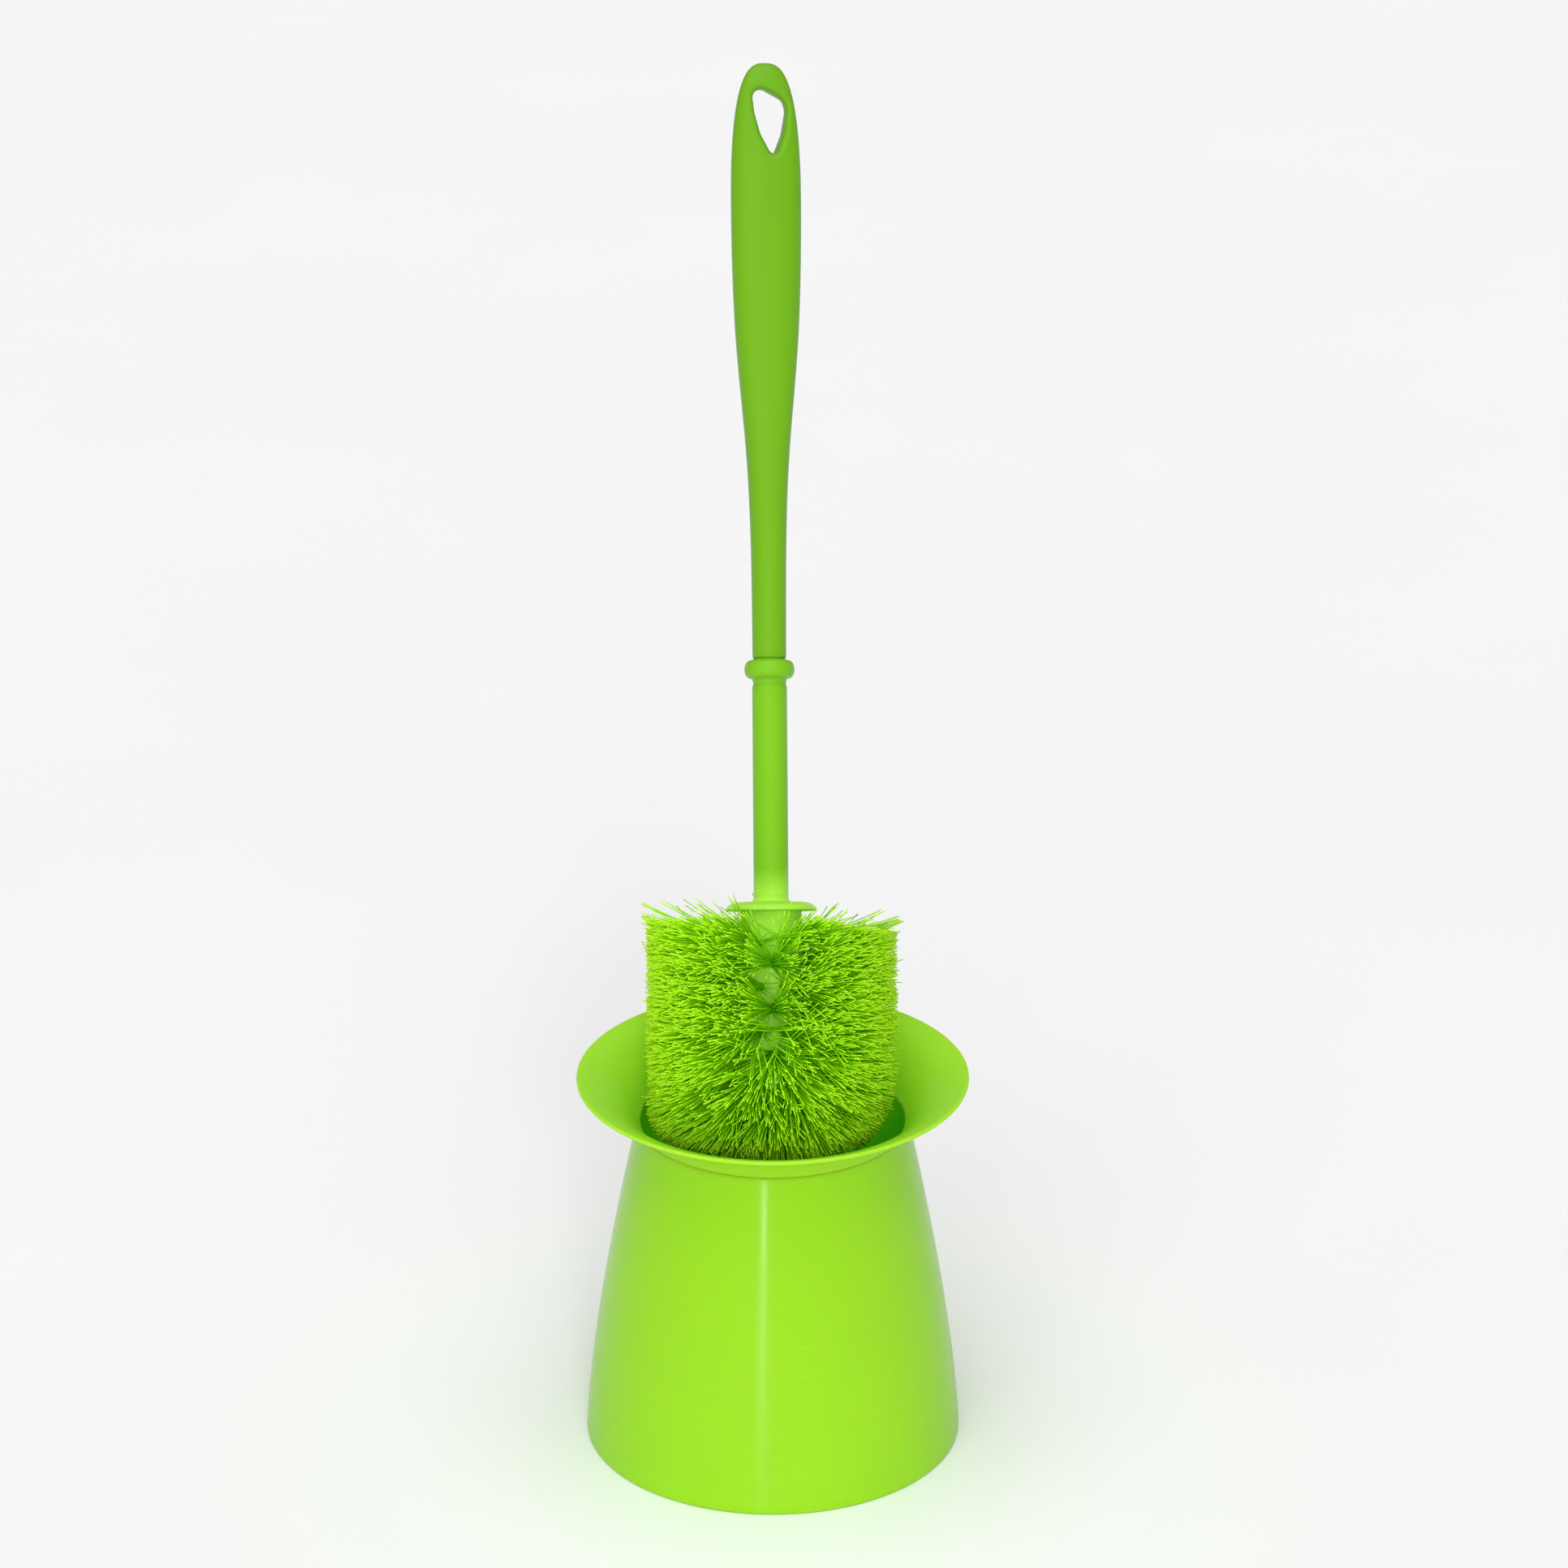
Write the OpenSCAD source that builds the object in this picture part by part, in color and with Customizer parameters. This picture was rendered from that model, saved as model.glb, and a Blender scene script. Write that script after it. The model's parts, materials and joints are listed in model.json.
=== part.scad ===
// Toilet brush standing in its hat-shaped holder.
// Holder: a moulded shell with a flared brim, closed below by a snapped-in base plate.
// Brush: a grip plugged into a stem, whose core holds bristle tufts with metal anchors.
// Origin: centre of the base on the floor. +Z is up and the brush leans towards +Y.

/* [Holder] */
// Height of the brim above the floor
holder_h = 129.5; // [126:0.5:134]
// Outer radius of the body at the floor
base_r = 62.4; // [61:0.1:65]
// Outer radius of the waist under the brim
waist_r = 44.6; // [44.5:0.1:46]
// Height of the waist
waist_z = 113.5; // [111:0.5:115]
// Outer radius of the brim
brim_r = 64.8; // [63:0.1:67]
// Steepness of the brim where it leaves the waist, in degrees from level
brim_steep = 58; // [50:1:62]
// Wall thickness of the shell
wall = 1.3; // [1.1:0.1:1.3]

/* [Base plate] */
// Thickness of the base plate
plate_t = 2.2; // [1.8:0.1:2.4]
// Height of the snap ridge inside the shell
ridge_z = 3; // [2.8:0.1:3.4]
// How far the snap ridge stands in from the wall
ridge_depth = 1; // [0.8:0.1:1.2]

/* [Brush] */
// Length of the brush from the bristle tips to the end of the grip
brush_l = 368.6; // [355:0.1:385]
// Backward lean of the brush, in degrees
lean = 25.5; // [22:0.5:26]
// Turn of the grip about the brush's own axis, in degrees
grip_turn = 11; // [0:1:20]
// Length of brush below the waist, along its axis
sunk = 20; // [18:0.5:22]
// Radius of the bristle head
head_r = 38.6; // [37:0.1:38.7]
// Height of the rounded lower end of the bristle head
head_round = 28; // [26:0.5:30]

/* [Stem] */
// Radius of the core that holds the tufts
core_r = 10; // [9.8:0.1:10.4]
// Height of the core's end ball above the bristle tips
core_end = 34; // [33:0.5:35]
// Height of the flange above the bristle tips
flange_z = 87.6; // [86:0.1:90]
// Radius of the flange
flange_r = 15; // [14:0.1:17]
// Thickness of the flange
flange_h = 3; // [2.5:0.1:4]
// Radius of the stem
stem_r = 5.75; // [5.6:0.05:6]
// Height of the seam between stem and grip
seam_z = 170.8; // [165:0.1:175]
// Radius of the collar bead under the seam
collar_r = 8.3; // [7.5:0.05:8.6]
// Height of the collar bead
collar_h = 6.2; // [6:0.1:8]

/* [Grip] */
// Half width of the grip at its slim lower end
slim_r = 5.55; // [5.4:0.05:5.6]
// Half width of the grip at its widest
grip_w = 11.9; // [11:0.1:12.5]
// Half thickness of the grip at its thickest
grip_t = 7; // [6.4:0.1:7.5]
// Distance from the seam to the middle of the swell
swell_at = 85.5; // [75:0.5:90]
// Radius of the spigot that plugs into the stem
spigot_r = 3.65; // [3.4:0.05:3.9]
// Length of the spigot
spigot_l = 24; // [20:0.5:28]

/* [Tufts] */
// Rings of tufts on the straight part of the core
ring_count = 7; // [5:1:7]
// Tufts in each ring
ring_tufts = 9; // [7:1:9]
// Distance between rings
ring_pitch = 7.2; // [6.9:0.1:7.2]
// Radius of a tuft hole
hole_r = 1.4; // [1.2:0.05:1.4]
// Depth of a tuft hole
hole_depth = 4.4; // [3.8:0.1:4.5]
// Radius that a tuft has spread to at its tips
tip_r = 4.9; // [3.5:0.1:5]
// Turn of all the tufts about the brush's axis, in degrees
tuft_turn = -10; // [-20:1:20]

/* [Hidden] */
$fn = 96;
fit = 0.03;            // play of a tuft in its hole
plug_fit = 0.05;       // play of the spigot in its socket
snap_fit = 0.2;        // play of the base plate in the shell
edge_r = 0.8;          // rounding of the shell's foot and brim edge
steps = 12;            // points along each curved outline
foot_curve = 1.42;     // how late the body starts to draw in towards the waist
top_ring = 77;         // height of the highest ring of tufts above the bristle tips
anchor = [0.4, 2.4, 1.4];   // anchor wire: thickness, width, depth
anchor_lift = 0.6;     // bristle fold left under an anchor
end_depth = 3.6;       // depth of the holes in the end ball
tip_blunt = 2.8;       // fullness of the grip's rounded end, seen from the front
edge_blunt = 2.5;      // the same, seen from the side
swell_run = 33.5;      // length over which the grip swells
grip_oval = 2.3;       // squareness of the grip's oval section
flange_edge = 4.9;     // width of the flange's rounded edge
flange_fillet = 1.5;   // fillet between the flange and the stem
grip_l = brush_l - seam_z;
tip_from = grip_l - 53.5;
thin_from = grip_l - 95;

ring_names = [for (i = [1:ring_count]) str("ring_", i)];

// Outlines of the holder, as [radius, height] points

function body_r(z) = base_r - (base_r - waist_r) * pow(z / waist_z, foot_curve);
function arc(centre, r, from, to, n = steps) =
    [for (i = [0:n]) let (a = from + (to - from) * i / n) centre + r * [cos(a), sin(a)]];

// The brim is one arc that flattens outwards, from brim_steep to brim_flat
brim_run = [brim_r - edge_r, holder_h - edge_r] - [waist_r, waist_z];
brim_chord = atan2(brim_run[1], brim_run[0]);
brim_flat = 2 * brim_chord - brim_steep;
brim_arc_r = norm(brim_run) / (2 * sin((brim_steep - brim_flat) / 2));
brim_centre = [waist_r + brim_arc_r * sin(brim_steep), waist_z - brim_arc_r * cos(brim_steep)];

function shell_outside() = concat(
    arc([base_r - edge_r, edge_r], edge_r, -90, 0, 4),
    [for (i = [1:steps]) let (z = waist_z * i / steps) [body_r(z), z]],
    arc(brim_centre, brim_arc_r, 90 + brim_steep, 90 + brim_flat));
function shell_inside() = concat(
    arc(brim_centre, brim_arc_r + wall, 90 + brim_flat, 90 + brim_steep),
    [for (i = [steps:-1:1]) let (z = waist_z * i / steps) [body_r(z) - wall, z]]);
function snap_ridge() = let (r = body_r(ridge_z) - wall)
    [[r, ridge_z + 1.6], [r - ridge_depth, ridge_z + 1.6], [r - ridge_depth, ridge_z + 0.9], [r, ridge_z],
     [r, 0]];

module holder_shell() {
    color([0.55, 0.87, 0.14])
    rotate_extrude() {
        polygon(concat(shell_outside(), shell_inside(), snap_ridge()));
        brim_edge();
    }
}

// Rounded edge of the brim, as thick as the wall
module brim_edge() {
    middle = brim_centre + (brim_arc_r + wall / 2) * [cos(90 + brim_flat), sin(90 + brim_flat)];
    translate(middle) circle(r = wall / 2, $fn = 32);
}

module base_plate() {
    r = body_r(0) - wall - snap_fit;
    skirt_r = body_r(ridge_z) - wall - ridge_depth - snap_fit;
    top = ridge_z + 1.6;
    color([0.52, 0.83, 0.13])
    rotate_extrude()
    polygon([[0, 0], [r - 0.4, 0], [r, 0.4], [r, plate_t], [skirt_r, plate_t], [skirt_r, top],
             [skirt_r + 0.7, top], [skirt_r, top + 2.4], [skirt_r, 9], [skirt_r - 1.5, 9],
             [skirt_r - 1.5, 3.6], [skirt_r - 4, plate_t], [31, plate_t], [30, 3.2], [28, 3.2],
             [27, plate_t], [0, plate_t]]);
}

// Places a part drawn along the brush's own axis, with the bristle tips at height 0
module leaning() {
    translate([0, 0, waist_z + 1]) rotate([-lean, 0, 0]) translate([0, 0, -sunk]) children();
}

function collar_outline() = let (bulge = collar_r - stem_r, half = collar_h / 2)
    [for (i = [0:10]) let (a = -90 + 18 * i)
        [stem_r + bulge * pow(cos(a), 0.8), seam_z - half - 0.4 + half * sin(a)]];
// The flange is flat above, with a rounded edge, and a fillet joins it to the stem
function flange_outline() = concat(
    [[flange_r - 0.3, flange_z]],
    [for (i = [0:6]) let (a = 15 * i)
        [flange_r - flange_edge * (1 - cos(a)), flange_z + 0.4 + (flange_h - 0.4) * sin(a)]],
    arc([stem_r + flange_fillet, flange_z + flange_h + flange_fillet], flange_fillet, 270, 180, 4));

module brush_stem() {
    color([0.5, 0.8, 0.17])
    leaning()
    difference() {
        rotate_extrude()
        polygon(concat(
            arc([0, core_end], core_r, -90, 0),
            [[core_r, flange_z]], flange_outline(), collar_outline(),
            [[stem_r - 0.2, seam_z - 0.2], [stem_r - 0.5, seam_z], [0, seam_z]]));
        translate([0, 0, seam_z - spigot_l - 1]) cylinder(r = spigot_r + plug_fit, h = spigot_l + 2);
        for (i = [1:ring_count]) at_ring(i) tuft_hole(hole_depth);
        at_end_outer() tuft_hole(end_depth);
        at_end_tip() tuft_hole(end_depth);
    }
}

// Places of the tufts: each draws its children along +Z from the core's surface

function ring_z(i) = top_ring - ring_pitch * (i - 1);
// Upper rings point a little up, and the lowest ones point down
function ring_tilt(i) = i <= 4 ? 2 * (4 - i) : -2 * pow(i - 4, 2);
end_tilts = [-33, -61.5, -90];
end_tufts = [9, 6, 1];

module around(count, tilt, z, stagger) {
    for (k = [0:count - 1])
        rotate([0, 0, tuft_turn + 360 * (k + stagger) / count])
        translate([0, 0, z]) rotate([0, 90 - tilt, 0])
        children();
}
module at_ring(i) {
    around(ring_tufts, ring_tilt(i), ring_z(i) - core_r * tan(ring_tilt(i)), i % 2 / 2)
    translate([0, 0, core_r / cos(ring_tilt(i))]) children();
}
module at_end_outer() {
    around(end_tufts[0], end_tilts[0], core_end, (ring_count + 1) % 2 / 2)
    translate([0, 0, core_r]) children();
}
module at_end_tip() {
    for (j = [1:2]) around(end_tufts[j], end_tilts[j], core_end, 0)
        translate([0, 0, core_r]) children();
}

// Distance from the core's surface to the rounded head's surface, along a tuft
function reach_ring(i) = (head_r - core_r) / cos(ring_tilt(i)) - max(0, 0.07 * pow(i - 4, 3));
function in_head(p) = let (below = max(0, head_round - p[1]))
    pow(p[0] / head_r, 2) + pow(below / head_round, 2);
function reach_end(tilt, near = 20, far = 40) = let (mid = (near + far) / 2)
    far - near < 0.05 ? near
    : in_head([(core_r + mid) * cos(tilt), core_end + (core_r + mid) * sin(tilt)]) > 1
    ? reach_end(tilt, near, mid) : reach_end(tilt, mid, far);

module tuft_hole(depth) {
    translate([0, 0, -depth]) cylinder(r = hole_r, h = depth + 3, $fn = 24);
}

// A tuft folded round its anchor: straight in its hole, then spread out to its tips
module tuft(depth, reach) {
    blunt = head_r - sqrt(pow(head_r, 2) - pow(tip_r, 2));
    difference() {
        rotate_extrude($fn = 24)
        polygon([[0, -depth], [hole_r - fit, -depth], [hole_r - fit, 0.3],
                 [tip_r, reach - blunt], [0, reach - blunt]]);
        anchor_wire(depth);
    }
}
module anchor_wire(depth) {
    translate([-anchor[0] / 2, -anchor[1] / 2, anchor_lift - depth]) cube(anchor);
}

module tufts_ring(i) {
    color([0.42, 0.75, 0.05]) leaning() at_ring(i) tuft(hole_depth, reach_ring(i));
}
module tufts_end_outer() {
    color([0.42, 0.75, 0.05]) leaning() at_end_outer() tuft(end_depth, reach_end(end_tilts[0]));
}
module tufts_end_tip() {
    color([0.42, 0.75, 0.05])
    leaning()
    for (j = [1:2]) around(end_tufts[j], end_tilts[j], core_end, 0)
        translate([0, 0, core_r]) tuft(end_depth, reach_end(end_tilts[j]));
}
module anchors_ring(i) {
    color("silver") leaning() at_ring(i) anchor_wire(hole_depth);
}
module anchors_end_outer() {
    color("silver") leaning() at_end_outer() anchor_wire(end_depth);
}
module anchors_end_tip() {
    color("silver") leaning() at_end_tip() anchor_wire(end_depth);
}

// Grip: oval sections whose half width and half thickness follow the distance x from the seam

function tanh(x) = (exp(2 * x) - 1) / (exp(2 * x) + 1);
function swell(x) = (1 + tanh((x - swell_at) / swell_run)) / 2;
function round_off(x, from, blunt) = x <= from ? 1
    : pow(max(0, 1 - pow((x - from) / (grip_l - from), blunt)), 1 / blunt);
function half_w(x) = (slim_r + (grip_w - slim_r) * swell(x)) * round_off(x, tip_from, tip_blunt);
function half_t(x) = (slim_r + (grip_t - slim_r) * swell(x)) * round_off(x, thin_from, edge_blunt);
// The section is round at the seam and turns oval over the first stretch
function squareness(x) = 2 + (grip_oval - 2) * min(1, x / swell_at);
function signed_pow(v, p) = sign(v) * pow(abs(v), p);
function section(x, sides) = [for (k = [0:sides - 1]) let (a = 360 * k / sides, p = 2 / squareness(x))
    [half_w(x) * signed_pow(cos(a), p), half_t(x) * signed_pow(sin(a), p), x]];

module grip_body(sides = 32) {
    // Sections every 7 mm, and closer together over the rounded end
    xs = concat([for (x = [0:7:tip_from]) x],
                [for (i = [1:12]) tip_from + (grip_l - tip_from) * sin(7.4 * i)]);
    points = concat([for (x = xs) each section(x, sides)], [[0, 0, 0], [0, 0, grip_l]]);
    last = len(xs) - 1;
    foot = len(points) - 2;
    polyhedron(points, concat(
        [for (i = [0:last - 1]) for (k = [0:sides - 1]) let (n = (k + 1) % sides)
            each [[i * sides + k, (i + 1) * sides + k, (i + 1) * sides + n],
                  [i * sides + k, (i + 1) * sides + n, i * sides + n]]],
        [for (k = [0:sides - 1]) let (n = (k + 1) % sides) [foot, k, n]],
        [for (k = [0:sides - 1]) let (n = (k + 1) % sides)
            [foot + 1, last * sides + n, last * sides + k]]));
}

// Hanging hole: a rounded drop that slants a little, wide above and pointed below. Its outline runs round
// these circles, each [place across, distance below the grip's end, radius]
hole_circles = [[-1.5, 12, 3.1], [2.6, 14.8, 3.7], [1.2, 16.2, 5.4], [1.5, 22.6, 4.1], [1.9, 29, 1.5]];
module hanging_hole() {
    translate([0, 20, 0]) rotate([90, 0, 0])
    linear_extrude(40)
    hull()
    for (c = hole_circles) translate([c[0], grip_l - c[1]]) circle(r = c[2], $fn = 32);
}

module grip() {
    color([0.49, 0.76, 0.16])
    leaning()
    rotate([0, 0, grip_turn])
    translate([0, 0, seam_z]) {
        difference() {
            union() {
                grip_body();
                translate([0, 0, -spigot_l]) cylinder(r = spigot_r, h = spigot_l + 2);
            }
            hanging_hole();
        }
    }
}

holder_shell();
base_plate();
brush_stem();
grip();
for (i = [1:ring_count]) {
    tufts_ring(i);
    anchors_ring(i);
}
tufts_end_outer();
tufts_end_tip();
anchors_end_outer();
anchors_end_tip();
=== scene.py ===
"""Toilet brush leaning in its hat-shaped holder: the looks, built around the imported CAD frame."""
import json
import math

import bpy
import numpy as np
from mathutils import Matrix, Vector


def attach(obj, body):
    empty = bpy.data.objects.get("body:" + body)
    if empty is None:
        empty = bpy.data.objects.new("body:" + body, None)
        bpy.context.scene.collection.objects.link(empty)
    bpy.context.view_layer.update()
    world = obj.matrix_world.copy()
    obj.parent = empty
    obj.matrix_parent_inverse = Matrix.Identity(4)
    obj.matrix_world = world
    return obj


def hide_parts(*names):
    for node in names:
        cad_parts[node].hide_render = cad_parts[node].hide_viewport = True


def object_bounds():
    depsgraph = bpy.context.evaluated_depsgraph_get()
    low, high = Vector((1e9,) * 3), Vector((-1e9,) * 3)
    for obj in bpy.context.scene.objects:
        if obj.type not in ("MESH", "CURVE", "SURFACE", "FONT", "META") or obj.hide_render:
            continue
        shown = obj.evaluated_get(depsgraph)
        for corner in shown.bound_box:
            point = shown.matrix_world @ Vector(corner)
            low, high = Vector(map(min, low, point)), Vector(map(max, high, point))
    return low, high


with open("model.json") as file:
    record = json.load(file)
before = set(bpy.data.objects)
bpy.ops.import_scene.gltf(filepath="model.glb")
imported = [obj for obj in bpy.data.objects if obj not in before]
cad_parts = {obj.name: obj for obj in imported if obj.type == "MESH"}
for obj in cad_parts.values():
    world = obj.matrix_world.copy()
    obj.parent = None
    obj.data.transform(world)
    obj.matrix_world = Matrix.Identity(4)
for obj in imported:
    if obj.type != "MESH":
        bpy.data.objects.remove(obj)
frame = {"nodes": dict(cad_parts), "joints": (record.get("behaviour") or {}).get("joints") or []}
cad_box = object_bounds()

MM = 0.001

# ---------------------------------------------------------------- sizes, in metres

BRIM_R, BRIM_TOP = 64.0 * MM, 128.7 * MM   # where the underside of the brim ends at its rounded edge
BASE_R = 62.4 * MM                    # outer radius of the body at the floor
WAIST_R = 44.6 * MM                   # outer radius of the waist
WAIST_Z = 113.5 * MM                  # height of the waist
WALL = 1.3 * MM                       # wall thickness of the shell
FOOT_EDGE = 0.8 * MM                  # rounding of the foot
FOOT_CURVE = 1.42                     # how late the body draws in towards the waist
BRIM_STEEP = math.radians(58)         # slope of the brim at the waist, from level
SHOULDER = 1.5 * MM                   # rounding at the top of the body, under the brim
SHOULDER_DROP = 0.7 * MM              # how far below the waist that rounding starts
SHOULDER_TURN = (12, 50)              # where it starts and ends, in degrees above level
GROOVE_DEPTH, GROOVE_RISE = 0.85 * MM, 0.55 * MM   # bottom of the fine groove, from the waist
GROOVE_TOP = 1.2 * MM                 # how far above the waist the brim's underside starts
GROOVE_ROUND, THROAT_ROUND = 0.25 * MM, 1.2 * MM   # roundings in that groove and inside the waist
RIDGE_Z, RIDGE_H, RIDGE_DEPTH = 3.0 * MM, 1.6 * MM, 1.0 * MM   # the ridge that the base plate snaps over
RIDGE_RAMP, RIDGE_EDGE = 0.9 * MM, 0.2 * MM   # height of its ramp, and its broken edge
FOOT_CHAMFER = 0.3 * MM               # at the inner edge of the foot

# The brush leans along the joint that lifts it. Its own frame has z along its axis, from the bristle tips
lift_axis = Vector(frame["joints"][0]["axis"])
LEAN = math.atan2(lift_axis.y, lift_axis.z)
SUNK = 20 * MM
BRUSH = (Matrix.Translation((0, 0, WAIST_Z + 1 * MM)) @ Matrix.Rotation(-LEAN, 4, "X")
         @ Matrix.Translation((0, 0, -SUNK)))
HEAD_R = 41.2 * MM                    # radius of the bristle head where nothing presses on it
HEAD_ROUND = (28 * MM, 6 * MM)        # height of its rounded end: mean, and its difference side to side
THROAT_R = 42.8 * MM                  # the filaments keep inside this radius in the throat
CORE_R = 10 * MM
CORE_END = 34 * MM
FLANGE_Z, FLANGE_R, FLANGE_H = 87.6 * MM, 15.0 * MM, 3.0 * MM
FLANGE_EDGE, FLANGE_FILLET = 4.9 * MM, 1.5 * MM
STEM_R = 5.75 * MM
SEAM_Z = 170.8 * MM
COLLAR_R, COLLAR_H = 8.3 * MM, 6.2 * MM
COLLAR_FULL = 0.8                     # fullness of the bead's section: 1 is an ellipse, less is squarer
COLLAR_DROP = 0.4 * MM                # distance from the seam to the top of the bead
NECK_DEPTH, NECK_RUN = 0.35 * MM, 3.0 * MM
BRUSH_L = 368.6 * MM
SLIM_R, GRIP_W, GRIP_T = 5.55 * MM, 11.9 * MM, 7.0 * MM
SWELL_AT, SWELL_RUN = 85.5 * MM, 33.5 * MM
TIP_RUN, THIN_RUN = 53.5 * MM, 95 * MM   # the stretches over which the grip's end narrows and thins
TIP_BLUNT, EDGE_BLUNT = 2.8, 2.5      # how full its rounded end is from the front and from the side
GRIP_OVAL = 0.3                       # how much squarer than an ellipse the section becomes
GRIP_VOXEL = 0.5 * MM                 # size of the even mesh that softens the grip's edges
GRIP_TURN = math.radians(11)
SPIGOT_R, SPIGOT_L = 3.65 * MM, 24 * MM
SPIGOT_PLAY, SPIGOT_GAP = 0.05 * MM, 1 * MM   # room round the spigot in its socket, and beyond its end
SMALL_EDGE = 0.4 * MM                 # the stem's small chamfers and the height of the flange's rim

RINGS, RING_TUFTS, RING_PITCH, TOP_RING = 7, 9, 7.2 * MM, 77 * MM
TUFT_TURN = math.radians(-10)
END_TUFTS = ((9, -33.0), (6, -61.5), (1, -90.0))   # tufts and tilt of each row on the end ball


# ---------------------------------------------------------------- materials

def material(name, colour, roughness, specular=0.5):
    """A Principled material and the parts of its node tree that the makers below use."""
    mat = bpy.data.materials.new(name)
    mat.use_nodes = True
    nodes, links = mat.node_tree.nodes, mat.node_tree.links
    shader = nodes["Principled BSDF"]
    shader.inputs["Base Color"].default_value = (*colour, 1)
    shader.inputs["Roughness"].default_value = roughness
    shader.inputs["Specular IOR Level"].default_value = specular
    return mat, nodes, links, shader


def noise(nodes, links, scale, detail=3.0, stretch=None):
    """A noise texture over the object's own coordinates, with an optional stretch."""
    texture = nodes.new("ShaderNodeTexNoise")
    texture.inputs["Scale"].default_value = scale
    texture.inputs["Detail"].default_value = detail
    place = nodes.new("ShaderNodeTexCoord").outputs["Object"]
    if stretch:
        mapping = nodes.new("ShaderNodeMapping")
        mapping.inputs["Scale"].default_value = stretch
        links.new(place, mapping.inputs["Vector"])
        place = mapping.outputs["Vector"]
    links.new(place, texture.inputs["Vector"])
    return texture.outputs["Fac"]


def ramp(nodes, links, factor, stops):
    node = nodes.new("ShaderNodeValToRGB")
    elements = node.color_ramp.elements
    elements[0].position, elements[0].color = stops[0][0], (*stops[0][1], 1)
    elements[1].position, elements[1].color = stops[-1][0], (*stops[-1][1], 1)
    for position, colour in stops[1:-1]:
        elements.new(position).color = (*colour, 1)
    links.new(factor, node.inputs["Fac"])
    return node.outputs["Color"]


def spread(nodes, links, factor, low, high):
    """Maps a noise to a range of values."""
    node = nodes.new("ShaderNodeMapRange")
    node.inputs["From Min"].default_value, node.inputs["From Max"].default_value = 0.3, 0.7
    node.inputs["To Min"].default_value, node.inputs["To Max"].default_value = low, high
    links.new(factor, node.inputs["Value"])
    return node.outputs["Result"]


def bump(nodes, links, shader, height, strength, distance):
    node = nodes.new("ShaderNodeBump")
    node.inputs["Strength"].default_value = strength
    node.inputs["Distance"].default_value = distance
    links.new(height, node.inputs["Height"])
    links.new(node.outputs["Normal"], shader.inputs["Normal"])


def multiply(nodes, links, first, second):
    mix = nodes.new("ShaderNodeMix")
    mix.data_type, mix.blend_type = "RGBA", "MULTIPLY"
    mix.inputs["Factor"].default_value = 1.0
    links.new(first, mix.inputs["A"])
    links.new(second, mix.inputs["B"])
    return mix.outputs["Result"]


def by_height(nodes, links, heights, low, high):
    """One colour below the two heights and another above, with a soft change between them."""
    split = nodes.new("ShaderNodeSeparateXYZ")
    links.new(nodes.new("ShaderNodeTexCoord").outputs["Object"], split.inputs["Vector"])
    span = nodes.new("ShaderNodeMapRange")
    span.inputs["From Min"].default_value, span.inputs["From Max"].default_value = heights
    links.new(split.outputs["Z"], span.inputs["Value"])
    return ramp(nodes, links, span.outputs["Result"], [(0.0, low), (1.0, high)])


def moulded_plastic(name, heights, low, high, roughness, specular=0.3, drawn=0.0):
    """Glossy moulded plastic: slow colour drift, patchy gloss and the faint waviness of a moulding.

    The colour changes from low to high over the two heights, which on the stem is painted light. A mould
    that was polished round and round draws highlights out along the piece.
    """
    mat, nodes, links, shader = material(name, high, roughness, specular)
    drift = ramp(nodes, links, noise(nodes, links, 14, 2), [(0.35, (0.97,) * 3), (0.65, (1.0,) * 3)])
    colour = by_height(nodes, links, heights, low, high)
    links.new(multiply(nodes, links, colour, drift), shader.inputs["Base Color"])
    gloss = noise(nodes, links, 55, 4)
    links.new(spread(nodes, links, gloss, roughness * 0.88, roughness * 1.15), shader.inputs["Roughness"])
    bump(nodes, links, shader, noise(nodes, links, 900, 2), 0.02, 0.0002)
    if drawn:
        shader.inputs["Anisotropic"].default_value = drawn
        shader.inputs["Anisotropic Rotation"].default_value = 0.25
        round_z = nodes.new("ShaderNodeTangent")
        round_z.direction_type, round_z.axis = "RADIAL", "Z"
        links.new(round_z.outputs["Tangent"], shader.inputs["Tangent"])
    return mat


def let_light_through(mat):
    """Green light passes through the thin wall, so that its shaded inside isn't dark."""
    shader = mat.node_tree.nodes["Principled BSDF"]
    shader.inputs["Subsurface Weight"].default_value = 0.5
    shader.inputs["Subsurface Radius"].default_value = (0.3, 1, 0.3)
    shader.inputs["Subsurface Scale"].default_value = 14 * MM


def bristle_material():
    """Lime filaments, darker towards the root and pale at the cut tip, each a little different."""
    mat, nodes, links, shader = material("bristle_filament", (0.40, 0.93, 0.01), 0.55, 0.1)
    along = nodes.new("ShaderNodeAttribute")
    along.attribute_name = "along"
    tone = nodes.new("ShaderNodeAttribute")
    tone.attribute_name = "tone"
    body = ramp(nodes, links, along.outputs["Fac"],
                [(0.0, (0.28, 0.86, 0.002)), (0.5, (0.32, 0.87, 0.003)), (0.93, (0.41, 0.89, 0.006)),
                 (1.0, (0.50, 0.88, 0.02))])
    shade = ramp(nodes, links, tone.outputs["Fac"], [(0.0, (0.90, 0.94, 0.8)), (1.0, (1.0, 1.0, 1.0))])
    links.new(multiply(nodes, links, body, shade), shader.inputs["Base Color"])
    return mat


def wire_material():
    """Flat drawn steel wire with faint lengthwise lines."""
    mat, nodes, links, shader = material("anchor_steel", (0.62, 0.62, 0.60), 0.3)
    shader.inputs["Metallic"].default_value = 1.0
    lines = noise(nodes, links, 900, 3, (1, 1, 0.1))
    links.new(ramp(nodes, links, lines, [(0.3, (0.5, 0.5, 0.48)), (0.7, (0.72, 0.72, 0.7))]),
              shader.inputs["Base Color"])
    bump(nodes, links, shader, lines, 0.15, 0.0001)
    return mat


# ---------------------------------------------------------------- mesh helpers

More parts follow.
